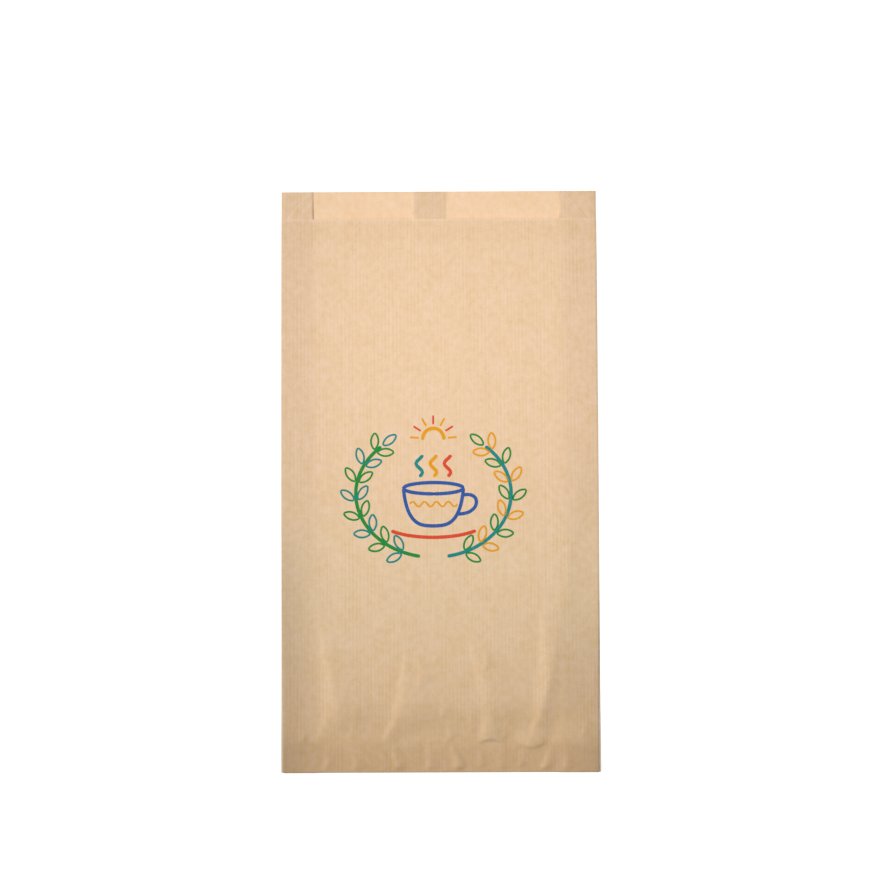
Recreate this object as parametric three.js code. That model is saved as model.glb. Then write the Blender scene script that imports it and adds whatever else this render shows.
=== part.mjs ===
// A flat bakery bag of ribbed kraft paper, folded from one sheet and lying on its back panel.
// Millimetres. X runs across the bag, Y from the bottom fold to the mouth, and Z is up.
// The origin is under the middle of the bag, on the surface that it lies on.
import * as THREE from "three";

const { lerp, smoothstep } = THREE.MathUtils;

// The bag's own sizes
const BAG_WIDTH = 180; // between the outer folds of the back panel
const BAG_LENGTH = 330; // from the bottom fold to the cut edge of the back panel
const LIP_LENGTH = 16; // the back panel stands this far past the front panel at the mouth
const GUSSET_DEPTH = 18; // from the outer folds in to the middle crease of each side
const CUT_FROM_CREASE = 2; // the mouth's slanted cut starts this far outside the middle crease
const CUT_FROM_FOLD = 3; // and comes down to the front panel's edge this far inside its fold
const LAP_WIDTH = 18; // the long pasted seam of the back panel
const LAP_CENTRE = -5; // the seam lies left of the middle, seen from the front
const LAP_JOGGLE = 3.5; // run over which the inner ply of the seam comes down beside it
const JOGGLE_CLEARANCE = 0.5; // the inner ply starts down this far past the outer ply's edge
const FLAP_LENGTH = 15; // the end of the tube, turned under and pasted to the back
const PAPER = 0.1; // thickness of the sheet
const PASTE = 0.05; // between plies that are pasted or pressed together

// How the empty bag lies
const SIDE_HEIGHT = 1.9; // four plies at the sides, as their folds spring apart
const CROWN = 0.9; // the middle of the front panel stands this far above its sides
const LIP_CURL = 0.35; // rise of the front panel's free edge
const CURL_RUN = 5; // length of paper that curls there
const PUFF_RUN = 24; // the plies spring apart over this length above the flap
const STEP_RUN = 22; // the back panel comes down from the flap over this length
const BOTTOM_INSET = 1.1; // at the bottom the puckers draw the front panel's folds in
const INSET_LENGTH = 150; // the folds of both panels lie in line above this
const CREASE_SHOULDER = 6; // the front panel steps down over this run beside a pressed gusset
const BEND_CLEARANCE = 1; // the back panel stays level this far past the flap's cut edge
const CALM_FROM = 12; // puckers fade out from this far inside the outer folds
const CALM_TO = 4; // and are gone this far inside them

// Puckers above the flap: the foot's place from the middle and from the bottom fold, the length,
// how far the crest leans to the right on its way up, the run of both flanks, and the height
const PUCKERS = [
  { x: -68, foot: 15, length: 43, lean: 9, left: 7, right: 11, height: 0.62 },
  { x: -28, foot: 15, length: 47, lean: 9, left: 7, right: 13, height: 0.58 },
  { x: 23, foot: 15, length: 55, lean: -3, left: 8, right: 12, height: 0.46 },
  { x: 54, foot: 15, length: 76, lean: 6, left: 9, right: 18, height: 0.8 },
  { x: 4, foot: 20, length: 22, lean: 2, left: 6, right: 6, height: 0.26 },
  { x: -50, foot: 20, length: 60, lean: 8, left: 10, right: 10, height: 0.22 },
];
const RUN_AT_FOOT = 0.4; // share of a flank's run at the pucker's foot
const RUN_AT_TOP = 1.2;
const SWELLS_OVER = 0.25; // share of a pucker's length over which it reaches its height
const FADES_FROM = 0.35; // share of its length above which it fades

// The grid of facets
const FRONT_COLUMNS = 36;
const BACK_COLUMNS = 3;
const GUSSET_COLUMNS = 2;
const CUT_COLUMNS = 1;
const FOLD_FACETS = 4;
const BEND_FACETS = 6;
const FLAP_ROWS = 2;
const FIRST_ROW = 4; // length of the row of facets at the bottom
const LONGEST_ROW = 28;
const ROW_GROWTH = 1.13; // each row is this much longer than the one below it
const MOUTH_ROWS = [10, 2.5]; // distances from the mouth at which its last rows start

// What follows from the sizes
const HALF_WIDTH = BAG_WIDTH / 2;
const HALF_LENGTH = BAG_LENGTH / 2;
const SIDE_GAPS = 3; // between the four plies at each side
const MIDDLE_GAPS = 2; // between the front panel and the two plies of the seam
const PLY_PITCH = PAPER + PASTE;
const PRESSED_SIDES = SIDE_GAPS * PLY_PITCH; // front panel over back panel at the bottom
const PRESSED_MIDDLE = MIDDLE_GAPS * PLY_PITCH;
const PRESSED_STACK = PRESSED_SIDES + PAPER;
const BEND_RADIUS = PASTE / 2; // inside the bottom fold
const BEND_HEIGHT = PRESSED_STACK + BEND_RADIUS; // of the bottom fold's axis
const BEND_Y = BEND_RADIUS + PRESSED_STACK - HALF_LENGTH;
const FLAP_TOP = BEND_HEIGHT + BEND_RADIUS; // the back panel lies this high on the flap
const FLAP_END = BEND_Y + FLAP_LENGTH;
const CREASE_X = HALF_WIDTH - GUSSET_DEPTH;
const CUT_START = CREASE_X + CUT_FROM_CREASE;
const CUT_END = HALF_WIDTH - CUT_FROM_FOLD;

// Shares of the spread at which the plies lie: the gusset's back half, its front half and the front
const GUSSET_BACK = 1 / SIDE_GAPS;
const GUSSET_FRONT = 2 / SIDE_GAPS;
const FRONT = 1;

// A ridge with a valley along its left side, which rises quickly at its foot, widens and fades upwards
function pucker({ x, foot, length, lean, left, right, height }, px, py) {
  const along = (py + HALF_LENGTH - foot) / length;
  if (along <= 0 || along >= 1) return 0;
  const off = px - x - lean * along;
  const run = (off < 0 ? left : right) * lerp(RUN_AT_FOOT, RUN_AT_TOP, along);
  const across = Math.max(0, 1 - Math.abs(off) / run);
  const profile = off < 0 ? across * (2 - across) : smoothstep(across, 0, 1);
  const swell = smoothstep(along, 0, SWELLS_OVER) * (1 - smoothstep(along, FADES_FROM, 1));
  return height * swell * profile;
}

// Height of the back panel's underside: on the flap at the bottom, and down on the table above it
function underside(y) {
  const start = FLAP_END + BEND_CLEARANCE;
  return FLAP_TOP * (1 - smoothstep(y, start, start + STEP_RUN));
}

// Distance of the front panel above the back panel
function spread(x, y) {
  const reach = Math.abs(x);
  const overGusset = smoothstep(reach, CREASE_X - CREASE_SHOULDER, CREASE_X);
  const pressed = lerp(PRESSED_MIDDLE, PRESSED_SIDES, overGusset);
  const crown = CROWN * Math.cos(Math.min(1, reach / HALF_WIDTH) * (Math.PI / 2)) ** 2;
  const mouth = HALF_LENGTH - LIP_LENGTH;
  const curl = LIP_CURL * smoothstep(y, mouth - CURL_RUN, mouth);
  const sprung = SIDE_HEIGHT - PAPER + crown + curl;
  const puff = smoothstep(y, FLAP_END, FLAP_END + PUFF_RUN);
  const clearOfSides = 1 - smoothstep(reach, HALF_WIDTH - CALM_FROM, HALF_WIDTH - CALM_TO);
  const relief = PUCKERS.reduce((sum, p) => sum + pucker(p, x, y), 0) * clearOfSides;
  return lerp(pressed, sprung, puff) + relief;
}

// How far the front panel's folds stand in from the back panel's
function frontInset(y) {
  return BOTTOM_INSET * (1 - smoothstep(y + HALF_LENGTH, 0, INSET_LENGTH));
}

// The sheet's middle line across the bag at one y, from the inner end of the seam, round the left
// gusset, the front and the right gusset, to the outer end of the seam. Each point has its height
// over the underside, the normal that points out of the bag, and how much of the lip is cut away.
function section(y) {
  const points = [];
  const put = (x, height, nx, nz, cut) => points.push({ x, height, nx, nz, cut });
  const plyHeight = (share, x) => PAPER / 2 + share * spread(x, y);
  const foldRadius = (x) => spread(x, y) / SIDE_GAPS / 2;

  // A half circle between two neighbouring plies. side is -1 at the left and 1 at the right, and a
  // hollow fold points in to the middle of the bag, as the gussets' inner creases do.
  const fold = (side, extreme, lowerShare, cut, hollow, upwards) => {
    const radius = foldRadius(extreme);
    const bulge = hollow ? -side : side;
    const facing = hollow ? -1 : 1;
    const centre = extreme - bulge * (PAPER / 2 + radius);
    const height = plyHeight(lowerShare, extreme) + radius;
    for (let k = 0; k <= FOLD_FACETS; k++) {
      const turn = ((upwards ? k : FOLD_FACETS - k) / FOLD_FACETS) * Math.PI - Math.PI / 2;
      const nx = bulge * Math.cos(turn);
      const nz = Math.sin(turn);
      put(centre + radius * nx, height + radius * nz, facing * nx, facing * nz, cut);
    }
  };

  // The inner points of a flat stretch between the last point and a given x
  const panel = (toX, columns, share, nz, cutFrom, cutTo) => {
    const fromX = points[points.length - 1].x;
    for (let k = 1; k < columns; k++) {
      const x = lerp(fromX, toX, k / columns);
      put(x, plyHeight(share, x), 0, nz, lerp(cutFrom, cutTo, k / columns));
    }
  };

  // Half of a gusset behind the front panel, whose slanted cut lies between CUT_START and CUT_END
  const gussetFront = (side, corners) => {
    for (const [reach, columns, cutFrom, cutTo] of corners) {
      panel(side * reach, columns, GUSSET_FRONT, -1, cutFrom, cutTo);
      put(side * reach, plyHeight(GUSSET_FRONT, side * reach), 0, -1, cutTo);
    }
  };

  const frontEdge = HALF_WIDTH - frontInset(y);
  const foldRun = foldRadius(HALF_WIDTH) + PAPER / 2;
  const creaseRun = foldRadius(CREASE_X) + PAPER / 2;
  const lapLeft = LAP_CENTRE - LAP_WIDTH / 2;
  const lapRight = LAP_CENTRE + LAP_WIDTH / 2;
  const joggleTop = lapLeft - JOGGLE_CLEARANCE;

  put(lapRight, PAPER / 2 + PLY_PITCH, 0, -1, 0);
  put(joggleTop, PAPER / 2 + PLY_PITCH, 0, -1, 0);
  put(joggleTop - LAP_JOGGLE, PAPER / 2, 0, -1, 0);
  panel(foldRun - HALF_WIDTH, BACK_COLUMNS, 0, -1, 0, 0);
  fold(-1, -HALF_WIDTH, 0, 0, false, true);
  panel(-CREASE_X - creaseRun, GUSSET_COLUMNS, GUSSET_BACK, 1, 0, 0);
  fold(-1, -CREASE_X, GUSSET_BACK, 0, true, true);
  gussetFront(-1, [[CUT_START, CUT_COLUMNS, 0, 0], [CUT_END, GUSSET_COLUMNS, 0, 1]]);
  panel(foldRun - frontEdge, CUT_COLUMNS, GUSSET_FRONT, -1, 1, 1);
  fold(-1, -frontEdge, GUSSET_FRONT, 1, false, true);
  panel(frontEdge - foldRun, FRONT_COLUMNS, FRONT, 1, 1, 1);
  fold(1, frontEdge, GUSSET_FRONT, 1, false, false);
  gussetFront(1, [[CUT_END, CUT_COLUMNS, 1, 1], [CUT_START, GUSSET_COLUMNS, 1, 0]]);
  panel(CREASE_X + creaseRun, CUT_COLUMNS, GUSSET_FRONT, -1, 0, 0);
  fold(1, CREASE_X, GUSSET_BACK, 0, true, false);
  panel(HALF_WIDTH - foldRun, GUSSET_COLUMNS, GUSSET_BACK, 1, 0, 0);
  fold(1, HALF_WIDTH, 0, 0, false, false);
  panel(lapLeft, BACK_COLUMNS, 0, -1, 0, 0);
  put(lapLeft, PAPER / 2, 0, -1, 0);
  return points;
}

// Shares of the bag's length at which the rows of facets above the bottom fold meet
function rowShares() {
  const ends = [0];
  let row = FIRST_ROW;
  while (ends[ends.length - 1] + row < BAG_LENGTH - LONGEST_ROW) {
    ends.push(ends[ends.length - 1] + row);
    row = Math.min(LONGEST_ROW, row * ROW_GROWTH);
  }
  const mouthRows = MOUTH_ROWS.map((fromMouth) => BAG_LENGTH - fromMouth);
  return [...ends, ...mouthRows, BAG_LENGTH].map((length) => length / BAG_LENGTH);
}

// Both faces of the sheet across the bag, at one place along it. place() turns a section point's
// height over the underside into a point of the bag.
function ribbon(sectionAt, place) {
  const face = (side) => (p) => {
    const x = p.x + (side * p.nx * PAPER) / 2;
    return place(x, p.height + (side * p.nz * PAPER) / 2, p);
  };
  return { outside: sectionAt.map(face(1)), inside: sectionAt.map(face(-1)) };
}

// The sheet from the flap's cut edge, round the bottom fold, up the bag to the mouth
function ribbons() {
  const bottom = section(BEND_Y);
  const rows = [];
  for (let k = 0; k < FLAP_ROWS; k++) {
    const y = lerp(FLAP_END, BEND_Y, k / FLAP_ROWS);
    rows.push(ribbon(bottom, (x, h) => new THREE.Vector3(x, y, BEND_HEIGHT - BEND_RADIUS - h)));
  }
  for (let k = 0; k < BEND_FACETS; k++) {
    const turn = Math.PI * (1 - k / BEND_FACETS);
    const onBend = (x, h) =>
      new THREE.Vector3(
        x,
        BEND_Y - (BEND_RADIUS + h) * Math.sin(turn),
        BEND_HEIGHT + (BEND_RADIUS + h) * Math.cos(turn),
      );
    rows.push(ribbon(bottom, onBend));
  }
  for (const share of rowShares()) {
    // each strip of the sheet ends at its own cut, so the rows slant beside the lip
    const yOf = (p) => lerp(BEND_Y, HALF_LENGTH - LIP_LENGTH * p.cut, share);
    const slanted = bottom.map((p, i) => section(yOf(p))[i]);
    rows.push(ribbon(slanted, (x, h, p) => new THREE.Vector3(x, yOf(p), underside(yOf(p)) + h)));
  }
  return rows;
}

// One closed skin round the sheet: its two faces, both cut ends and both edges of the seam
function sheetGeometry() {
  const rows = ribbons();
  const columns = rows[0].outside.length;
  const position = [];
  for (const row of rows) {
    for (const p of [...row.outside, ...row.inside]) position.push(p.x, p.y, p.z);
  }
  const outside = (r, c) => r * 2 * columns + c;
  const inside = (r, c) => (r * 2 + 1) * columns + c;
  const index = [];
  const quad = (a, b, c, d) => index.push(a, b, c, a, c, d);
  const lastRow = rows.length - 1;
  const lastColumn = columns - 1;
  for (let r = 0; r < lastRow; r++) {
    for (let c = 0; c < lastColumn; c++) {
      quad(outside(r, c), outside(r, c + 1), outside(r + 1, c + 1), outside(r + 1, c));
      quad(inside(r, c), inside(r + 1, c), inside(r + 1, c + 1), inside(r, c + 1));
    }
    quad(outside(r, 0), outside(r + 1, 0), inside(r + 1, 0), inside(r, 0));
    const c = lastColumn;
    quad(outside(r, c), inside(r, c), inside(r + 1, c), outside(r + 1, c));
  }
  for (let c = 0; c < lastColumn; c++) {
    quad(outside(0, c), inside(0, c), inside(0, c + 1), outside(0, c + 1));
    quad(outside(lastRow, c), outside(lastRow, c + 1), inside(lastRow, c + 1), inside(lastRow, c));
  }
  const geometry = new THREE.BufferGeometry();
  geometry.setAttribute("position", new THREE.Float32BufferAttribute(position, 3));
  geometry.setIndex(index);
  geometry.computeVertexNormals();
  return geometry;
}

const kraft = new THREE.MeshStandardMaterial({ color: 0xe3c19c, roughness: 0.78, metalness: 0 });
const paperBag = new THREE.Mesh(sheetGeometry(), kraft);
paperBag.name = "paper_bag";

const bag = new THREE.Group();
bag.add(paperBag);

export default bag;
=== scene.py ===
# A flat bakery bag of ribbed kraft paper with a printed front, lying on white and seen from above.
# Metres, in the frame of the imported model: X across the bag, Y from the bottom fold to the mouth, Z up.
import math

import bmesh
import bpy
from mathutils import Matrix, Vector, noise
from mathutils.geometry import interpolate_bezier


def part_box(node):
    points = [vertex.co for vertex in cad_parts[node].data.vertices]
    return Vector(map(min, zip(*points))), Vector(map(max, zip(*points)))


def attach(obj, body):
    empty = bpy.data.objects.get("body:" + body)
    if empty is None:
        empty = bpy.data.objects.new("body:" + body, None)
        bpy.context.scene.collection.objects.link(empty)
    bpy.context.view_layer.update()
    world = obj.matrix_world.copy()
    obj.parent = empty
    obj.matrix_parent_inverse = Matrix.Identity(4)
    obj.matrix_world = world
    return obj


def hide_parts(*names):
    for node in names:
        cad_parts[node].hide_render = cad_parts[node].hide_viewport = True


MM = 0.001

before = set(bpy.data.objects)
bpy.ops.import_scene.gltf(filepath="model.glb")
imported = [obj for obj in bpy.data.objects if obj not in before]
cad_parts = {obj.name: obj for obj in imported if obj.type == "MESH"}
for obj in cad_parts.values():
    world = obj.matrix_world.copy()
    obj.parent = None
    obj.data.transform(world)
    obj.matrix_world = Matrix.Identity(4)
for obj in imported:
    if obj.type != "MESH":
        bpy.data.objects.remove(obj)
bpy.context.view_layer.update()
bag_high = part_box("paper_bag")[1]

# The bag's own sizes
HALF_WIDTH = bag_high.x
HALF_LENGTH = bag_high.y
LIP_LENGTH = 16 * MM
GUSSET_DEPTH = 18 * MM
CREASE_X = HALF_WIDTH - GUSSET_DEPTH
CUT_START = CREASE_X + 2 * MM  # the slanted cut of the gusset's front half starts here at the mouth
CUT_END = HALF_WIDTH - 3 * MM  # and comes down to the front panel's edge here
LAP_WIDTH = 18 * MM
LAP_CENTRE = -5 * MM
LAP_JOGGLE = 3.5 * MM
FLAP_LENGTH = 15 * MM
PAPER = 0.1 * MM
PASTE = 0.05 * MM
JOGGLE_CLEARANCE = 5 * PAPER  # the seam's inner ply starts down this far past the outer ply's edge

# How the empty bag lies
SPRUNG_SIDES = 1.8 * MM  # front panel over back panel at the sides, above the pressed bottom
CROWN = 0.9 * MM  # the middle of the front panel stands this far above its sides
LIP_CURL = 0.35 * MM
MOUTH_SETTLES = 0.5  # share of the height that the plies lose on the way up to the front panel's edge
LIP_SETTLES = 0.36  # share that the gussets lose above it
SETTLING_RUN = 30 * MM
CURL_RUN = 4 * MM
SETTLES_PAST_EDGE = 1 * MM  # the gussets start to lose it this far above that edge
PUFF_RUN = 24 * MM
SIDE_PUFF_RUN = 200 * MM
SIDE_SHOULDER = 35 * MM
STEP_RUN = 22 * MM
BOTTOM_INSET = 1.1 * MM
INSET_LENGTH = 150 * MM
CREASE_SHOULDER = 6 * MM
BEND_CLEARANCE = 1 * MM
RIGHT_DEEPER = 2.5 * MM  # the right gusset was folded this much deeper than the left one
CALM_FROM = 10 * MM  # wrinkles fade out from this far inside the outer folds
CALM_TO = 3 * MM  # and are gone this far inside them
CALM_AT_BEND = 3 * MM  # and over this run above the bottom bend

# What follows from the sizes
PLY_PITCH = PAPER + PASTE
PRESSED_SIDES = 3 * PLY_PITCH
PRESSED_MIDDLE = 2 * PLY_PITCH
PRESSED_STACK = PRESSED_SIDES + PAPER
BEND_RADIUS = PASTE / 2
BEND_HEIGHT = PRESSED_STACK + BEND_RADIUS
BEND_Y = BEND_RADIUS + PRESSED_STACK - HALF_LENGTH
FLAP_TOP = BEND_HEIGHT + BEND_RADIUS
FLAP_END = BEND_Y + FLAP_LENGTH
MOUTH_Y = HALF_LENGTH - LIP_LENGTH

# The mesh before it settles: plies a third of SPRUNG_SIDES apart, joined by half circles
GUSSET_BACK = SPRUNG_SIDES / 3
GUSSET_FRONT = SPRUNG_SIDES * 2 / 3
FOLD_RADIUS = SPRUNG_SIDES / 6
OUTER_FOLD = HALF_WIDTH - PAPER / 2
OUTER_CENTRE = OUTER_FOLD - FOLD_RADIUS
INNER_FOLD = CREASE_X + PAPER / 2
INNER_CENTRE = INNER_FOLD + FOLD_RADIUS

# Up to each place from the middle, rows this far apart
ROWS = ((-145 * MM, 0.8 * MM), (-60 * MM, 1.5 * MM), (HALF_LENGTH, 3.2 * MM))
COLUMN = 1.2 * MM
HIDDEN_COLUMN = 4 * MM
FOLD_STEPS = 6
BEND_STEPS = 8
FLAP_ROWS = 6
LEVEL_SLACK = 0.01 * MM
CUT_EDGE_ANGLE = math.radians(55)
MERGE_DISTANCE = 0.001 * MM

# Puckers above the flap, in millimetres: place of the foot from the middle and from the bottom fold,
# length, lean to the right on the way up, widest run of the left and of the right flank, and height
PUCKERS = (
    (-70.5, 15, 68, 3, 10, 28, 1.00),
    (-34, 15, 54, 14, 7, 28, 0.85),
    (23, 15.5, 66, -9, 9, 20, 0.80),
    (48.5, 15, 80, 8.5, 9.5, 24, 0.90),
    (-79.5, 16, 13, -2.5, 2.5, 4, 0.28),
    (-14.5, 46, 19, 1, 4, 8, 0.36),
    (-1, 29, 16, 1, 2.5, 7, 0.28),
    (2.5, 17, 13, 1, 2.5, 7, 0.28),
    (24, 56, 18, 0, 1.8, 5, 0.28),
    (34, 18, 16, 1, 3, 7, 0.30),
    (78, 18, 13, 3.5, 2.5, 4, 0.28),
    (-53, 17, 26, 3, 3, 10, 0.24),
    (14, 19, 20, 1, 3, 6, 0.24),
)
# Short wrinkles over the flap, given the same way
FLAP_WRINKLES = (
    (-68, -3, 18, 4, 2.2, 6, 0.34),
    (-49, -3, 18, -2, 1.9, 7, 0.46),
    (-32.5, -3, 18, -2.5, 1.6, 4, 0.24),
    (-26.5, -3, 19, -1.5, 2.4, 8, 0.66),
    (-9, -2, 17, 1, 2.4, 7, 0.42),
    (6, -3, 20, -1, 4.5, 5.5, 0.78),
    (20, 1, 14, 1, 2.2, 5, 0.28),
    (31, -3, 17, 1, 2.2, 6, 0.28),
    (43, 2, 12, 1, 2.2, 5, 0.28),
    (52.5, -3, 19, 9, 3, 7, 0.56),
    (67, -3, 17, 3.5, 2.2, 6, 0.34),
)
# Bulges that stand over the flap's edge: middle of the lower edge from the middle and from the bottom
# fold, half width, how far the edge's ends hang below its middle, and the height
OVERHANGS = (
    (28.5, 17, 8.5, 3, 0.85),
    (51, 12.5, 10, -5, 0.70),
    (-40, 15, 16, 1, 0.16),
    (-4, 15, 14, -1, 0.16),
    (-76, 15, 8, 1, 0.16),
)
# Shares of the flanks' widest runs at a pucker's foot, and of its length where it is full and fades
LEFT_AT_FOOT = 0.10
RIGHT_AT_FOOT = 0.5
SWELLS_OVER = 0.35
FADES_FROM = 0.4
# From a bulge's lower edge up to its full height, and to where it is gone
OVERHANG_STEP = 2.4 * MM
OVERHANG_FADE = 14 * MM
# Slow undulation of the front panel: patches across and along the bag, layer of the noise and height
SWELL = (22 * MM, 60 * MM, 3.7, 0.10 * MM)
RIPPLE = (9 * MM, 30 * MM, 8.1, 0.025 * MM)
WAVES_FADE = (70 * MM, 86 * MM)


def progress(value, start, end):
    """How far a value has come from start to end, held between 0 and 1."""
    return min(1, max(0, (value - start) / (end - start)))


def smooth(value, start, end):
    """0 before start, 1 after end and an even curve between."""
    share = progress(value, start, end)
    return share * share * (3 - 2 * share)


def mix(first, second, share):
    return first + (second - first) * share


def pucker(shape, x, y):
    """A ridge with a pointed foot, an even left flank that swells and fades upwards, and a long
    right one."""
    foot_x, foot_y, length, lean, left, right, height = (value * MM for value in shape)
    along = (y + HALF_LENGTH - foot_y) / length
    if not 0 < along < 1:
        return 0
    belly = smooth(along, 0, SWELLS_OVER) * (1 - smooth(along, FADES_FROM, 1))
    crest = left * mix(LEFT_AT_FOOT, 1, belly)
    off = x - foot_x - lean * along
    if off < crest:
        profile = smooth(off, 0, crest)
    else:
        profile = 1 - smooth(off, crest, crest + right * mix(RIGHT_AT_FOOT, 1, belly))
    return height * math.sqrt(belly) * profile


def overhang(shape, x, y):
    """A bulge with a steep curved lower edge, gentle above it."""
    middle, edge, half_width, drop, height = (value * MM for value in shape)
    across = (x - middle) / half_width
    if abs(across) >= 1:
        return 0
    above = y + HALF_LENGTH - edge + drop * across * across
    fade = 1 - smooth(above, OVERHANG_STEP, OVERHANG_FADE)
    return height * (1 - across * across) * smooth(above, 0, OVERHANG_STEP) * fade


def relief(x, y):
    """What wrinkles add to the front panel's height."""
    clear_of_sides = 1 - smooth(abs(x), HALF_WIDTH - CALM_FROM, HALF_WIDTH - CALM_TO)
    clear_of_bend = smooth(y, BEND_Y, BEND_Y + CALM_AT_BEND)
    ridges = sum(pucker(shape, x, y) for shape in PUCKERS + FLAP_WRINKLES)
    bulges = sum(overhang(shape, x, y) for shape in OVERHANGS)
    return (ridges + bulges) * clear_of_sides * clear_of_bend


def wave(shape, x, y):
    across, along, layer, height = shape
    return height * noise.noise(Vector((x / across, y / along, layer)))


def waves(x, y):
    """Slow undulation of the free part of the front panel."""
    free = smooth(y, FLAP_END, FLAP_END + PUFF_RUN) * (1 - smooth(abs(x), *WAVES_FADE))
    return free * (wave(SWELL, x, y) + wave(RIPPLE, x, y))


def underside(y):
    """Height of the back panel: on the flap at the bottom, and down on the table above it."""
    start = FLAP_END + BEND_CLEARANCE
    return FLAP_TOP * (1 - smooth(y, start, start + STEP_RUN))


def spread(x, y):
    """Distance of the front panel above the back panel."""
    reach = abs(x)
    crease = CREASE_X - RIGHT_DEEPER if x > 0 else CREASE_X
    over_gusset = smooth(reach, crease - CREASE_SHOULDER, crease)
    pressed = mix(PRESSED_MIDDLE, PRESSED_SIDES, over_gusset)
    crown = CROWN * math.cos(min(1, reach / HALF_WIDTH) * math.pi / 2) ** 2
    curl = LIP_CURL * smooth(y, MOUTH_Y - CURL_RUN, MOUTH_Y)
    sprung = SPRUNG_SIDES + crown + curl
    puff_run = mix(PUFF_RUN, SIDE_PUFF_RUN, smooth(reach, HALF_WIDTH - SIDE_SHOULDER, HALF_WIDTH))
    puff = smooth(y, FLAP_END, FLAP_END + puff_run)
    settled = 1 - MOUTH_SETTLES * smooth(y, MOUTH_Y - SETTLING_RUN, MOUTH_Y)
    settled -= LIP_SETTLES * smooth(y, MOUTH_Y + SETTLES_PAST_EDGE, HALF_LENGTH)
    return mix(pressed, sprung, puff) * settled + relief(x, y) + waves(x, y)


def front_inset(y):
    """How far the front panel's folds stand in from the back panel's."""
    return BOTTOM_INSET * (1 - smooth(y + HALF_LENGTH, 0, INSET_LENGTH))


def front_height(x, y):
    """Height of the printed face."""
    return underside(y) + spread(x, y) + PAPER


def settle(point):
    """Moves one point of the evenly folded sheet to where the flat empty bag has it."""
    side = math.copysign(1, point.x)
    reach = abs(point.x)
    level = point.z
    in_gusset = GUSSET_BACK - LEVEL_SLACK < level < GUSSET_FRONT + LEVEL_SLACK
    in_front = level > GUSSET_FRONT - LEVEL_SLACK
    cut = 0
    if in_front:
        cut = progress(reach, CUT_START, CUT_END)
    if level > GUSSET_FRONT + LEVEL_SLACK:
        cut = 1
    y = BEND_Y + (point.y - BEND_Y) * (1 - cut * LIP_LENGTH / (HALF_LENGTH - BEND_Y))
    inwards = 0
    if in_gusset and side > 0:
        inwards = RIGHT_DEEPER * progress(reach, OUTER_CENTRE, CUT_END)
    gap = spread(point.x - inwards, y)
    radius_share = gap / SPRUNG_SIDES
    if reach > OUTER_CENTRE:
        reach = OUTER_FOLD - (OUTER_FOLD - reach) * radius_share
    elif in_gusset and reach < INNER_CENTRE:
        reach = INNER_FOLD + (reach - INNER_FOLD) * radius_share
    if in_front:
        reach -= front_inset(y) * progress(reach, CREASE_X, HALF_WIDTH)
    if level < PLY_PITCH + LEVEL_SLACK and reach < CREASE_X:
        height = level
    else:
        height = level / SPRUNG_SIDES * gap
    return Vector((side * (reach - inwards), y, underside(y) + PAPER / 2 + height))


def lay(bm, line, places, column):
    """Carries a line of edges straight from place to place across, in columns about as wide as given."""
    for start, end in zip(places, places[1:]):
        columns = max(1, round(abs(end - start) / column))
        step = Vector(((end - start) / columns, 0, 0))
        swept = bmesh.ops.spin(
            bm, geom=line, cent=(0, 0, 0), axis=(0, 1, 0), dvec=step, angle=0, steps=columns
        )
        line = swept["geom_last"]
    return line


def turn_over(bm, line, centre_x, centre_z, angle):
    """Folds the sheet back over itself."""
    centre = (centre_x, 0, centre_z)
    swept = bmesh.ops.spin(bm, geom=line, cent=centre, axis=(0, 1, 0), angle=angle, steps=FOLD_STEPS)
    return swept["geom_last"]


def seam_edge(bm):
    """The inner end of the pasted seam, with one vertex for each row from the bottom fold to the mouth."""
    vertex = bm.verts.new((LAP_CENTRE + LAP_WIDTH / 2, BEND_Y, PLY_PITCH))
    line = [vertex]
    y = BEND_Y
    while y < HALF_LENGTH - LEVEL_SLACK:
        row = next(row for limit, row in ROWS if y < limit)
        y = min(HALF_LENGTH, y + row)
        if HALF_LENGTH - y < row / 2:
            y = HALF_LENGTH
        grown = bmesh.ops.extrude_vert_indiv(bm, verts=[vertex])
        vertex = grown["verts"][0]
        vertex.co.y = y
        line += grown["verts"] + grown["edges"]
    return line


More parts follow.
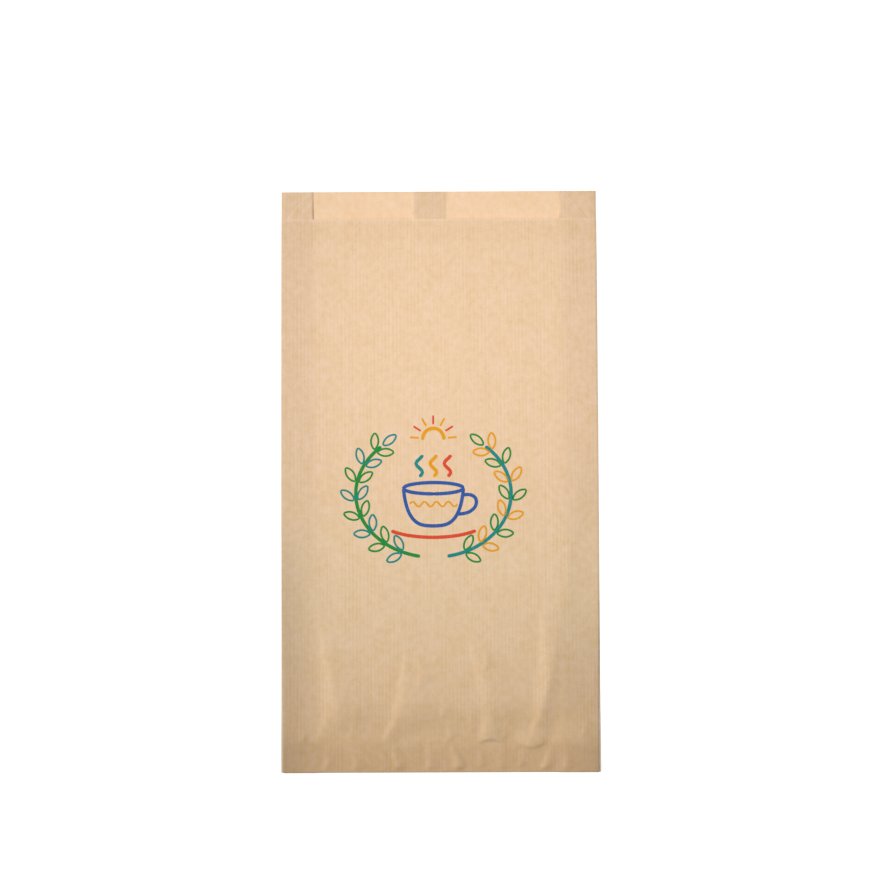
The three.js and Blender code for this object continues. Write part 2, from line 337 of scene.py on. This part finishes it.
def fold_sheet(bm):
    """Folds the sheet from the seam's inner end round the left gusset, the front, the right gusset
    and back to the seam, as a bag machine does."""
    half_turn = math.pi
    gusset_half = (INNER_CENTRE, CUT_START, CUT_END, OUTER_CENTRE)
    lap_left = LAP_CENTRE - LAP_WIDTH / 2
    lap_right = LAP_CENTRE + LAP_WIDTH / 2
    joggle_top = lap_left - JOGGLE_CLEARANCE
    joggle_foot = joggle_top - LAP_JOGGLE

    line = seam_edge(bm)
    line = lay(bm, line, (lap_right, joggle_top), HIDDEN_COLUMN)
    line = lay(bm, line, (joggle_top, joggle_foot), LAP_JOGGLE)
    lowered = [part for part in line if isinstance(part, bmesh.types.BMVert)]
    for vertex in lowered:
        vertex.co.z = 0
    line = lay(bm, line, (joggle_foot, -OUTER_CENTRE), HIDDEN_COLUMN)

    line = turn_over(bm, line, -OUTER_CENTRE, FOLD_RADIUS, half_turn)
    line = lay(bm, line, (-OUTER_CENTRE, -INNER_CENTRE), COLUMN * 2)
    line = turn_over(bm, line, -INNER_CENTRE, GUSSET_BACK + FOLD_RADIUS, -half_turn)
    line = lay(bm, line, [-place for place in gusset_half], COLUMN)
    line = turn_over(bm, line, -OUTER_CENTRE, GUSSET_FRONT + FOLD_RADIUS, half_turn)

    line = lay(bm, line, (-OUTER_CENTRE, OUTER_CENTRE), COLUMN)

    line = turn_over(bm, line, OUTER_CENTRE, GUSSET_FRONT + FOLD_RADIUS, half_turn)
    line = lay(bm, line, gusset_half[::-1], COLUMN)
    line = turn_over(bm, line, INNER_CENTRE, GUSSET_BACK + FOLD_RADIUS, -half_turn)
    line = lay(bm, line, (INNER_CENTRE, OUTER_CENTRE), COLUMN * 2)
    line = turn_over(bm, line, OUTER_CENTRE, FOLD_RADIUS, half_turn)
    lay(bm, line, (OUTER_CENTRE, lap_left), HIDDEN_COLUMN)


def turn_bottom_under(bm):
    """Bends all plies of the bottom end under the bag, and runs them on as the flap."""
    limit = BEND_Y + LEVEL_SLACK
    ends = [vertex for vertex in bm.verts if vertex.co.y < limit]
    line = [edge for edge in bm.edges if all(vertex.co.y < limit for vertex in edge.verts)]
    axis_point = (0, BEND_Y, BEND_HEIGHT)
    bent = bmesh.ops.spin(
        bm, geom=line + ends, cent=axis_point, axis=(1, 0, 0), angle=math.pi, steps=BEND_STEPS
    )
    step = (0, FLAP_LENGTH / FLAP_ROWS, 0)
    bmesh.ops.spin(
        bm, geom=bent["geom_last"], cent=(0, 0, 0), axis=(1, 0, 0), dvec=step, angle=0, steps=FLAP_ROWS
    )


def add_object(name, data):
    """Puts a mesh, a lamp or a camera into the scene."""
    thing = bpy.data.objects.new(name, data)
    bpy.context.scene.collection.objects.link(thing)
    return thing


def new_mesh(name, bm, material):
    """Turns a bmesh into a mesh."""
    mesh = bpy.data.meshes.new(name)
    bm.to_mesh(mesh)
    bm.free()
    mesh.materials.append(material)
    return mesh


def new_piece(name, bm, material):
    """Turns a bmesh into a smooth-shaded object at the origin that rides on the bag."""
    mesh = new_mesh(name, bm, material)
    mesh.polygons.foreach_set("use_smooth", [True] * len(mesh.polygons))
    piece = add_object(name, mesh)
    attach(piece, "root")
    return piece


def thicken(piece, thickness, offset):
    """Gives a piece its wall, with crisp cut edges."""
    wall = piece.modifiers.new("wall", "SOLIDIFY")
    wall.thickness = thickness
    wall.offset = offset
    bpy.context.view_layer.objects.active = piece
    bpy.ops.object.modifier_apply(modifier=wall.name)
    piece.data.set_sharp_from_angle(angle=CUT_EDGE_ANGLE)


def make_bag(material):
    bm = bmesh.new()
    fold_sheet(bm)
    for vertex in bm.verts:
        vertex.co = settle(vertex.co)
    turn_bottom_under(bm)
    bmesh.ops.remove_doubles(bm, verts=bm.verts, dist=MERGE_DISTANCE)
    bag = new_piece("folded_bag", bm, material)
    thicken(bag, PAPER, 0)
    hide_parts("paper_bag")


# Materials

# The sockets of a Mix node for colours, by number because their names aren't unique
MIX_SHARE = 0
MIX_FIRST = 6
MIX_SECOND = 7
MIX_RESULT = 2


class Wire:
    """A value in a material. Arithmetic on it adds Math nodes."""

    def __init__(self, finish, socket):
        self.finish = finish
        self.socket = socket

    def maths(self, operation, first, second=0):
        return self.finish.add("Math", {"operation": operation}, {0: first, 1: second})

    def __add__(self, other):
        return self.maths("ADD", self, other)

    def __sub__(self, other):
        return self.maths("SUBTRACT", self, other)

    def __rsub__(self, other):
        return self.maths("SUBTRACT", other, self)

    def __mul__(self, other):
        return self.maths("MULTIPLY", self, other)

    def __truediv__(self, other):
        return self.maths("DIVIDE", self, other)

    def __abs__(self):
        return self.maths("ABSOLUTE", self)

    __radd__ = __add__
    __rmul__ = __mul__

    def wave(self):
        return self.maths("SINE", self)

    def rise(self, start, end):
        """0 before start, 1 after end."""
        limits = {"Value": self, "From Min": start, "From Max": end}
        return self.finish.add("MapRange", {"interpolation_type": "SMOOTHSTEP"}, limits)

    def within(self, start, end, softness):
        """1 between start and end, with soft borders."""
        started = self.rise(start - softness, start + softness)
        ended = self.rise(end - softness, end + softness)
        return started * (1 - ended)


class Finish:
    """A material round one Principled shader."""

    def __init__(self, name):
        self.material = bpy.data.materials.new(name)
        self.material.use_nodes = True
        self.tree = self.material.node_tree
        self.shader = self.tree.nodes["Principled BSDF"]

    def feed(self, socket, value):
        if isinstance(value, Wire):
            self.tree.links.new(value.socket, socket)
        else:
            socket.default_value = value

    def add(self, kind, settings=None, inputs=None, output=0):
        """Adds a node of any type and gives back one of its outputs."""
        node = self.tree.nodes.new("ShaderNode" + kind)
        for name, value in (settings or {}).items():
            setattr(node, name, value)
        for name, value in (inputs or {}).items():
            self.feed(node.inputs[name], value)
        return Wire(self, node.outputs[output])

    def set(self, **sockets):
        """Sets the shader's sockets, whose spaces are written as underscores."""
        for name, value in sockets.items():
            self.feed(self.shader.inputs[name.replace("_", " ")], value)

    def place(self):
        """The three object coordinates."""
        position = self.add("TexCoord", output="Object")
        return [self.add("SeparateXYZ", {}, {0: position}, axis) for axis in ("X", "Y", "Z")]

    def cloud(self, x, y, patch, detail=2):
        """Noise from 0 to 1 whose patches have the given sizes across and along the bag."""
        across, along = patch
        at = self.add("CombineXYZ", {}, {"X": x / across, "Y": y / along})
        return self.add("TexNoise", {}, {"Vector": at, "Scale": 1.0, "Detail": detail})

    def blend(self, share, first, second, mode="MIX"):
        """Mixes two colours."""
        settings = {"data_type": "RGBA", "blend_type": mode}
        inputs = {MIX_SHARE: share, MIX_FIRST: first, MIX_SECOND: second}
        return self.add("Mix", settings, inputs, MIX_RESULT)

    def shade(self, colour, change, gains=(1, 1, 1)):
        """Lightens or darkens a colour by a share, of which each channel takes its own part."""
        levels = [change * gain + 1 for gain in gains]
        factor = self.add("CombineColor", {}, dict(zip(("Red", "Green", "Blue"), levels)))
        return self.blend(1.0, colour, factor, "MULTIPLY")

    def bump(self, height, distance):
        """Relief whose full height is the given distance."""
        inputs = {"Height": height, "Distance": distance, "Strength": 1.0}
        return self.add("Bump", {}, inputs)


def linear(level):
    """A display level from 0 to 255 as linear light."""
    display = level / 255
    if display <= 0.04045:
        return display / 12.92
    return ((display + 0.055) / 1.055) ** 2.4


def srgb(red, green, blue):
    """A display colour as the linear colour that shaders take."""
    return (linear(red), linear(green), linear(blue), 1.0)


# Colours of the paper
KRAFT = srgb(243, 207, 168)
KRAFT_LIP = srgb(252, 214, 173)
# Painted highlight on the back panel's outer folds where they show past the front panel's folds
PAINTED_FOLD_HIGHLIGHT = srgb(250, 229, 204)
# What multiplies them: painted shade on the way down, and a darker tone above the flap and over it
PAINTED_LOWER_SHADE = (0.943, 0.945, 0.89, 1.0)
DARKER_TOWARDS_FLAP = (0.97, 0.95, 0.90, 1.0)
OVER_FLAP = (0.91, 0.88, 0.86, 1.0)
BELOW_PRINT = (0.0, 0.038, 0.045)  # extra red, green and blue under the print
# The painted highlights and shadows along cut edges take the same gains
GRAIN_AND_EDGE_GAINS = (0.50, 0.81, 1.95)  # light grain is paler, and dark grain is deeper in colour

# Ribs, and the sizes of the paper's patches across and along the bag
RIB_PITCH = 2.1 * MM
RIB_DEPTH = 0.03 * MM
RIB_WANDER = (16 * MM, 200 * MM)
RIB_WANDER_ANGLE = 3
RIB_STRENGTH = (11 * MM, 50 * MM)
STREAKS = (0.9 * MM, 90 * MM)
CLOUDS = (11 * MM, 14 * MM)
MOTTLE = (3.2 * MM, 3.8 * MM)
FIBRES = (0.7 * MM, 1.1 * MM)
KRAFT_ROUGHNESS = 0.6
KRAFT_ROUGHNESS_RANGE = 0.1

# How much they lighten and darken the paper
RIB_TONE = 0.15
CLOUD_TONE = 0.16
MOTTLE_TONE = 0.25
FIBRE_TONE = 0.18
FRONT_GRAIN = 0.14  # the front shows this much more grain than the inside at the lip
LIP_HIDES_RIBS = 0.7

# Where tones start and are full, from the middle outwards or along Y, and how strong they are. A
# third value is the softness of a tone that ends again
LIP_START = (MOUTH_Y - 0.3 * MM, MOUTH_Y + 0.3 * MM)
# The gussets' darker tone starts just inside their creases, as painted shade on the folds' rounded sides
LIP_CREASE = (CREASE_X - 0.7 * MM, CREASE_X - 0.3 * MM)
LAP = (LAP_CENTRE - LAP_WIDTH / 2, LAP_CENTRE + LAP_WIDTH / 2, 1.1 * MM)
LIP_PLIES_SHADE = 0.068
GUSSET = (CREASE_X - 4 * MM, CREASE_X + 2 * MM)
GUSSET_SHADE = 0.045
GUSSET_FADES_LOW = 0.6
SIDE = (HALF_WIDTH - SIDE_SHOULDER, HALF_WIDTH)
SIDE_SHADE = 0.035
# Painted shade low at the left and right sides, where the front panel rounds down towards its folds
LOW_PART = (-65 * MM, -5 * MM)
LEFT_STRIP = (62 * MM, HALF_WIDTH)
LOW_LEFT_SHADE = 0.14
LOW_PART_RIGHT = (-101 * MM, -70 * MM)
RIGHT_STRIP = (66 * MM, HALF_WIDTH)
LOW_RIGHT_SHADE = 0.09
FLAP_EDGE = (FLAP_END - 4 * MM, FLAP_END + 5 * MM)
FLAP_EDGE_WANDER = 8 * MM
ABOVE_FLAP = (FLAP_END, FLAP_END + 30 * MM)
LOWER_PART = (-HALF_LENGTH, 60 * MM)
UNDER_PRINT = (-95 * MM, -25 * MM, 25 * MM)
INSET_RUN = (-HALF_LENGTH, INSET_LENGTH - HALF_LENGTH)
PAST_FRONT_FOLD = (HALF_WIDTH, HALF_WIDTH + 0.3 * MM)
UPPER_FACE = (0.3 * PAPER, 0.7 * PAPER)

# Painted highlights and shadows along cut edges: start, end and softness of each line
SLANT_LINE = (-0.8 * MM, 0.1 * MM, 0.3 * MM)
SLANT_LIGHT = 0.09
BESIDE_SLANT = (0.3 * MM, 0.8 * MM, 0.25 * MM)
BESIDE_SLANT_SHADE = 0.07
FRONT_EDGE = (MOUTH_Y - 1.1 * MM, MOUTH_Y + 0.1 * MM, 0.3 * MM)
FRONT_EDGE_LIGHT = 0.07
BELOW_EDGE = (MOUTH_Y - 13 * MM, MOUTH_Y - 2 * MM, 2 * MM)
BELOW_EDGE_SHADE = 0.03


def rib_pattern(finish, x, y):
    """The fine ribs along the paper, from 0 to 1, no two quite alike."""
    wander = finish.cloud(x, y, RIB_WANDER) * RIB_WANDER_ANGLE
    strength = finish.cloud(x, y, RIB_STRENGTH).rise(0.3, 0.7)
    ribs = (x * (2 * math.pi / RIB_PITCH) + wander).wave() * strength * 0.5 + 0.5
    streaks = finish.cloud(x, y, STREAKS)
    return ribs * 0.5 + streaks * 0.5


class KraftPaper(Finish):
    """The ribbed paper, with its light and shade worked out from the bag's folds and edges."""

    def __init__(self):
        super().__init__("ribbed_kraft")
        self.x, self.y, self.z = self.place()
        self.reach = abs(self.x)
        self.right = self.x.rise(-MM, MM)
        self.lip_reach = self.reach + self.right * RIGHT_DEEPER
        self.lip = self.y.rise(*LIP_START)
        self.lip_gusset = self.lip_reach.rise(*LIP_CREASE)
        self.inside = self.lip * (1 - self.lip_gusset) * (1 - self.x.within(*LAP))
        self.ribs = rib_pattern(self, self.x, self.y)
        self.clouds = self.cloud(self.x, self.y, CLOUDS)

    def upper_face(self):
        """1 on the printed side of the bag and 0 underneath, also where the flap lifts it."""
        start = FLAP_END + BEND_CLEARANCE
        lifted = (1 - self.y.rise(start, start + STEP_RUN)) * FLAP_TOP
        return (self.z - lifted).rise(*UPPER_FACE)

    def tone(self):
        """The paper's colour without its grain, with painted shade low down and a painted highlight on the
        folds.
        """
        over_flap = 1 - (self.y + (self.clouds - 0.5) * FLAP_EDGE_WANDER).rise(*FLAP_EDGE)
        inset = (1 - self.y.rise(*INSET_RUN)) * BOTTOM_INSET
        tone = self.blend(self.inside, KRAFT, KRAFT_LIP)
        # Painted shade: darker and warmer towards the bottom, where the light falls off
        tone = self.blend(1 - self.y.rise(*LOWER_PART), tone, PAINTED_LOWER_SHADE, "MULTIPLY")
        tone = self.shade(tone, self.y.within(*UNDER_PRINT), BELOW_PRINT)
        # Darker towards the flap, and darker again over it
        tone = self.blend(1 - self.y.rise(*ABOVE_FLAP), tone, DARKER_TOWARDS_FLAP, "MULTIPLY")
        tone = self.blend(over_flap, tone, OVER_FLAP, "MULTIPLY")
        # Painted highlight past the front panel's folds
        return self.blend((self.reach + inset).rise(*PAST_FRONT_FOLD), tone, PAINTED_FOLD_HIGHLIGHT)

    def plies_and_painted_shade(self):
        """Darker where more plies lie under it and towards the sides, with painted shade low at the sides.
        """
        low = 1 - self.y.rise(*LOW_PART)
        # Painted shade low at the sides
        low_left = low * (0 - self.x).rise(*LEFT_STRIP)
        low_right = (1 - self.y.rise(*LOW_PART_RIGHT)) * self.x.rise(*RIGHT_STRIP)
        gusset = self.reach.rise(*GUSSET) * (1 - low * GUSSET_FADES_LOW)
        shade = (gusset * GUSSET_SHADE + self.reach.rise(*SIDE) * SIDE_SHADE) * (1 - self.lip)
        shade = shade + self.lip * (1 - self.inside) * LIP_PLIES_SHADE
        return shade + low_left * LOW_LEFT_SHADE + low_right * LOW_RIGHT_SHADE

    def cut_edges(self):
        """Painted highlights and shadows along the gussets' slanted cuts and the front panel's edge."""
        lean = (CUT_END - CUT_START) / LIP_LENGTH
        slant = (self.lip_reach - CUT_START) - lean * (HALF_LENGTH - self.y)
        on_lip = self.lip * self.lip_gusset
        slants = slant.within(*SLANT_LINE) * on_lip * SLANT_LIGHT
        slants = slants - slant.within(*BESIDE_SLANT) * on_lip * self.right * BESIDE_SLANT_SHADE
        front = self.y.within(*FRONT_EDGE) * FRONT_EDGE_LIGHT
        return slants + front - self.y.within(*BELOW_EDGE) * BELOW_EDGE_SHADE

    def grain(self):
        """Ribs, clouds and fibres, as shares by which they lighten the paper."""
        mottle = self.cloud(self.x, self.y, MOTTLE)
        fibres = self.cloud(self.x, self.y, FIBRES)
        grain = (self.ribs - 0.5) * (1 - self.inside * LIP_HIDES_RIBS) * RIB_TONE
        grain = grain + (self.clouds - 0.5) * CLOUD_TONE
        grain = grain + (mottle - 0.5) * MOTTLE_TONE + (fibres - 0.5) * FIBRE_TONE
        return grain * (1 + FRONT_GRAIN - self.inside * FRONT_GRAIN)


def kraft_finish():
    paper = KraftPaper()
    upper = paper.upper_face()
    tone = paper.blend(upper, KRAFT, paper.tone())
    tone = paper.shade(tone, 0 - paper.plies_and_painted_shade() * upper)
    paper.set(
        Base_Color=paper.shade(tone, paper.grain() + paper.cut_edges() * upper, GRAIN_AND_EDGE_GAINS),
        Roughness=KRAFT_ROUGHNESS + (paper.clouds - 0.5) * KRAFT_ROUGHNESS_RANGE,
        Normal=paper.bump(paper.ribs, RIB_DEPTH),
    )
    return paper.material


# The inks, whose thin places let the paper through
INKS = {
    "orange": srgb(236, 162, 14),
    "green": srgb(37, 143, 61),
    "teal": srgb(27, 140, 138),
    "blue": srgb(48, 92, 167),
    "red": srgb(227, 79, 50),
}
INK_PATCHES = (2.2 * MM, 3 * MM)
INK_PATCH_DETAIL = 3
INK_FIBRES = (0.4 * MM, 1.0 * MM)
THIN_FROM = 0.56
THIN_TO = 0.72
PAPER_THROUGH = 0.25
INK_PATCH_TONE = 0.16
INK_RIB_TONE = 0.08
INK_RELIEF = 0.02 * MM
INK_ROUGHNESS = 0.5
INK_ROUGHNESS_RANGE = 0.2
INK_SPECULAR = 0.1


def ink_finish(name, colour):
    finish = Finish(name)
    x, y = finish.place()[:2]
    ribs = rib_pattern(finish, x, y)
    patches = finish.cloud(x, y, INK_PATCHES, INK_PATCH_DETAIL)
    fibres = finish.cloud(x, y, INK_FIBRES)
    thin = (fibres * 0.6 + ribs * 0.25 + patches * 0.15).rise(THIN_FROM, THIN_TO)
    tone = finish.blend(thin * PAPER_THROUGH, colour, KRAFT)
    finish.set(
        Base_Color=finish.shade(tone, (patches - 0.5) * INK_PATCH_TONE + (ribs - 0.5) * INK_RIB_TONE),
        Roughness=INK_ROUGHNESS + (fibres - 0.5) * INK_ROUGHNESS_RANGE,
        Specular_IOR_Level=INK_SPECULAR,
        Normal=finish.bump(ribs * 0.7 + fibres * 0.3, INK_RELIEF),
    )
    return finish.material


# The print: a steaming cup between two sprigs under a small sun, in millimetres from its own centre
PRINT_CENTRE = Vector((-3.6 * MM, -8 * MM))
BOLD = 2.0
FINE = 1.1
INK_LIFT = 0.02 * MM
INK_STEP = 0.004 * MM  # strokes that cross lie this much apart
INK_LEVELS = 4
INK_FILM = 0.06 * MM
CAP_STEPS = 4
CAP_TIP = 0.04
STROKE_STEP = 1.1

# The sprigs, with angles in degrees
SPRIG_WIDTH = 44
SPRIG_HEIGHT = 36
STEM_START = -80
STEM_END = 48
STEM_STEPS = 40
LEAF_PAIRS = 8
BELOW_LEAVES = 0.9
ABOVE_LEAVES = 0.4
LEAF_LENGTH = 9.5
LEAF_WIDTH = 4.2
LEAF_BULGE = 0.67
LEAF_TURN = 44
LEAF_GAP = 1.6
TIP_GAP = 1.2

# The cup's rim as an ellipse, and each curve as its start, two handles and its end
RIM_CENTRE = (0, 3)
RIM_RADII = (17, 3.2)
RIM_ANGLES = (-90, 272)
CUP_LEFT = ((-17, 3), (-16, -8), (-13, -17), (-5, -18))
CUP_FOOT = ((-5, -18), (-2, -18.4), (2, -18.4), (5, -18))
CUP_RIGHT = ((5, -18), (13, -17), (16, -8), (17, 3))
CUP_HANDLE = ((16.5, -1), (28, 2), (27, -13), (12.5, -11.5))
SAUCER = ((-24, -21), (-12, -26), (12, -26), (24, -21))
BAND_HALF = 13.5
BAND_Y = -6
BAND_SWAY = 1.5
BAND_WAVES = 4
BAND_STEPS = 48

STEAM = ((-8, "teal"), (0, "orange"), (8, "red"))
STEAM_FOOT = 9.5
STEAM_TOP = 22
STEAM_SWAY = 1.8
STEAM_WAVES = 1.25
STEAM_STEPS = 24

SUN_CENTRE = Vector((0, 31))
SUN_RADIUS = 6
SUN_ANGLES = (-6, 186)
RAYS = 7
RAY_ANGLES = (4, 176)
RAY_START = 8.2
RAY_END = 13.4


def arc(centre, radii, angles, count=24):
    """Points on an ellipse between two angles in degrees."""
    points = []
    for k in range(count + 1):
        angle = math.radians(mix(*angles, k / count))
        x = centre[0] + radii[0] * math.cos(angle)
        y = centre[1] + radii[1] * math.sin(angle)
        points.append(Vector((x, y)))
    return points


def curve(knots, count=16):
    """Points on a curve that is given by its start, two handles and its end."""
    return interpolate_bezier(*(Vector(knot) for knot in knots), count)


def path_length(points):
    return sum((b - a).length for a, b in zip(points, points[1:]))


def at_distance(points, distance):
    """The point and the direction on a path at a distance from its start."""
    for a, b in zip(points, points[1:]):
        length = (b - a).length
        if distance <= length or b is points[-1]:
            return a + (b - a) * min(1, distance / length), (b - a).normalized()
        distance -= length


def stations(length, half):
    """Distances along a stroke: close together in its round ends, even between them."""
    cap = [half * (1 - math.cos(k / CAP_STEPS * math.pi / 2)) for k in range(CAP_STEPS + 1)]
    steps = max(1, round((length - 2 * half) / STROKE_STEP))
    middle = [mix(half, length - half, k / steps) for k in range(1, steps)]
    return cap + middle + [length - distance for distance in reversed(cap)]


def draw(bm, points, width):
    """A ribbon with round ends along points, made by extruding one short edge."""
    half = width / 2
    length = path_length(points)
    left = right = None
    for distance in stations(length, half):
        place, heading = at_distance(points, distance)
        from_end = min(distance, length - distance, half)
        reach = max(CAP_TIP, math.sqrt(half * half - (half - from_end) ** 2))
        across = Vector((-heading.y, heading.x)) * reach
        corners = [(place + across).to_3d(), (place - across).to_3d()]
        if left is None:
            left, right = (bm.verts.new(corner) for corner in corners)
            edge = bm.edges.new((left, right))
            continue
        grown = bmesh.ops.extrude_edge_only(bm, edges=[edge])["geom"]
        ends = [part for part in grown if isinstance(part, bmesh.types.BMVert)]
        ends.sort(key=lambda vertex: (vertex.co - left.co).length)
        left, right = ends
        left.co, right.co = corners
        edge = bm.edges.get((left, right))


class Print:
    """Collects strokes by ink, and lays each ink on the front panel as one thin film."""

    def __init__(self, inks):
        self.inks = inks
        self.strokes = {name: [] for name in inks}

    def stroke(self, ink, points, width):
        self.strokes[ink].append((points, width))

    def make(self):
        for name, material in self.inks.items():
            bm = bmesh.new()
            for index, (points, width) in enumerate(self.strokes[name]):
                first = len(bm.verts)
                draw(bm, points, width)
                bm.verts.ensure_lookup_table()
                for vertex in bm.verts[first:]:
                    x, y = PRINT_CENTRE + vertex.co.to_2d() * MM
                    lift = INK_LIFT + INK_STEP * (index % INK_LEVELS)
                    vertex.co = (x, y, front_height(x, y) + lift)
            bmesh.ops.recalc_face_normals(bm, faces=bm.faces)
            for face in bm.faces:
                if face.normal.z < 0:
                    face.normal_flip()
            piece = new_piece("print_" + name, bm, material)
            thicken(piece, INK_FILM, -1)


def leaf(design, ink, base, heading):
    """A pointed oval, drawn with two strokes from its base to its tip."""
    along = heading.normalized()
    across = Vector((-along.y, along.x))
    tip = base + along * LEAF_LENGTH
    for side in (-1, 1):
        bulge = across * side * LEAF_WIDTH * LEAF_BULGE
        near = base + along * LEAF_LENGTH * 0.25 + bulge
        far = base + along * LEAF_LENGTH * 0.75 + bulge
        design.stroke(ink, curve((base, near, far, tip)), FINE)


def sprig(design, side, stem_ink, leaf_inks):
    """A curved stem with leaves in pairs and one at its end."""
    stem = arc((0, 0), (SPRIG_WIDTH * side, SPRIG_HEIGHT), (STEM_START, STEM_END), STEM_STEPS)
    design.stroke(stem_ink, stem, BOLD)
    length = path_length(stem)
    for k in range(LEAF_PAIRS):
        share = (k + BELOW_LEAVES) / (LEAF_PAIRS + ABOVE_LEAVES)
        place, heading = at_distance(stem, length * share)
        for turn in (-LEAF_TURN, LEAF_TURN):
            away = Matrix.Rotation(math.radians(turn), 2) @ heading
            leaf(design, leaf_inks[k % len(leaf_inks)], place + away * LEAF_GAP, away)
    place, heading = at_distance(stem, length)
    leaf(design, leaf_inks[0], place + heading * TIP_GAP, heading)


def cup(design):
    """A cup with a waved band, over the curve of its saucer."""
    body = curve(CUP_LEFT) + curve(CUP_FOOT)[1:] + curve(CUP_RIGHT)[1:]
    design.stroke("blue", arc(RIM_CENTRE, RIM_RADII, RIM_ANGLES, 40), BOLD)
    design.stroke("blue", body, BOLD)
    design.stroke("blue", curve(CUP_HANDLE, 24), BOLD)
    design.stroke("red", curve(SAUCER, 24), BOLD)
    band = []
    for k in range(BAND_STEPS + 1):
        share = k / BAND_STEPS
        sway = BAND_SWAY * math.sin(share * math.tau * BAND_WAVES)
        band.append(Vector((mix(-BAND_HALF, BAND_HALF, share), BAND_Y + sway)))
    design.stroke("orange", band, FINE)


def steam(design):
    """Wisps that sway to both sides on their way up."""
    for x, ink in STEAM:
        wisp = []
        for k in range(STEAM_STEPS + 1):
            share = k / STEAM_STEPS
            sway = STEAM_SWAY * math.sin(share * math.tau * STEAM_WAVES)
            wisp.append(Vector((x + sway, mix(STEAM_FOOT, STEAM_TOP, share))))
        design.stroke(ink, wisp, BOLD)


def sun(design):
    """Half a sun with rays in two inks by turns."""
    design.stroke("orange", arc(SUN_CENTRE, (SUN_RADIUS, SUN_RADIUS), SUN_ANGLES), BOLD)
    for k in range(RAYS):
        angle = math.radians(mix(*RAY_ANGLES, k / (RAYS - 1)))
        ray = Vector((math.cos(angle), math.sin(angle)))
        ink = "red" if k % 2 else "orange"
        design.stroke(ink, [SUN_CENTRE + ray * RAY_START, SUN_CENTRE + ray * RAY_END], FINE)


def make_print():
    design = Print({name: ink_finish("ink_" + name, colour) for name, colour in INKS.items()})
    sprig(design, -1, "green", ("teal", "green"))
    sprig(design, 1, "teal", ("green", "orange"))
    cup(design)
    steam(design)
    sun(design)
    design.make()


# The stage
CAMERA_PLACE = Vector((6.2, -26.6, 971.6)) * MM
CAMERA_TURN = (2.889, 0.365, -0.252)  # degrees
CAMERA_LENS = 70
SOFT_BOX_SIZE = 0.3
SOFT_BOX_WATTS = 0.85
SOFT_BOX_PLACE = (0.012, 0.085, 0.37)
SIDE_LIGHT_STRENGTH = 1.82
SIDE_LIGHT_ANGLE = math.radians(20)
SIDE_LIGHT_HEADING = Vector((1, -0.3, -0.85))
ROOM_STRENGTH = 0.06
FLOOR_HALF = 2.0
FLOOR_DROP = 0.05 * MM
FLOOR_GREY = (0.6, 0.6, 0.6, 1.0)
FLOOR_GLOW = 0.8


def add_camera():
    camera = add_object("camera", bpy.data.cameras.new("camera"))
    camera.data.lens = CAMERA_LENS
    camera.location = CAMERA_PLACE
    camera.rotation_euler = [math.radians(angle) for angle in CAMERA_TURN]
    bpy.context.scene.camera = camera


def add_soft_box():
    """A soft box over the upper half of the bag, whose light falls off towards the bottom."""
    lamp = bpy.data.lights.new("soft_box", "AREA")
    lamp.size = SOFT_BOX_SIZE
    lamp.energy = SOFT_BOX_WATTS
    light = add_object("soft_box", lamp)
    light.location = SOFT_BOX_PLACE
    light.visible_camera = False


def add_side_light():
    """Even light from the left, which brings out the wrinkles."""
    lamp = bpy.data.lights.new("side_light", "SUN")
    lamp.energy = SIDE_LIGHT_STRENGTH
    lamp.angle = SIDE_LIGHT_ANGLE
    light = add_object("side_light", lamp)
    light.rotation_euler = SIDE_LIGHT_HEADING.to_track_quat("-Z", "Y").to_euler()


def add_world():
    world = bpy.data.worlds.new("room")
    world.use_nodes = True
    background = world.node_tree.nodes["Background"]
    background.inputs["Color"].default_value = (1.0, 1.0, 1.0, 1.0)
    background.inputs["Strength"].default_value = ROOM_STRENGTH
    bpy.context.scene.world = world


def floor_finish():
    """White to the camera, with the object's shadow taken from the light that really falls on it."""
    finish = Finish("white_table")
    path = finish.tree.nodes.new("ShaderNodeLightPath")
    seen = Wire(finish, path.outputs["Is Camera Ray"]) + Wire(finish, path.outputs["Is Glossy Ray"])
    seen = seen + Wire(finish, path.outputs["Is Transmission Ray"])
    glow = finish.add("CombineColor", {}, {"Red": seen, "Green": seen, "Blue": seen})
    finish.set(
        Base_Color=FLOOR_GREY,
        Roughness=0.9,
        Specular_IOR_Level=0.0,
        Emission_Color=glow,
        Emission_Strength=FLOOR_GLOW,
    )
    return finish.material


def add_floor():
    bm = bmesh.new()
    drop = Matrix.Translation((0, 0, -FLOOR_DROP))
    bmesh.ops.create_grid(bm, x_segments=1, y_segments=1, size=FLOOR_HALF, matrix=drop)
    table = add_object("table", new_mesh("table", bm, floor_finish()))


add_camera()
add_soft_box()
add_side_light()
add_world()
add_floor()
bpy.context.scene.view_settings.view_transform = "Standard"

make_bag(kraft_finish())
make_print()
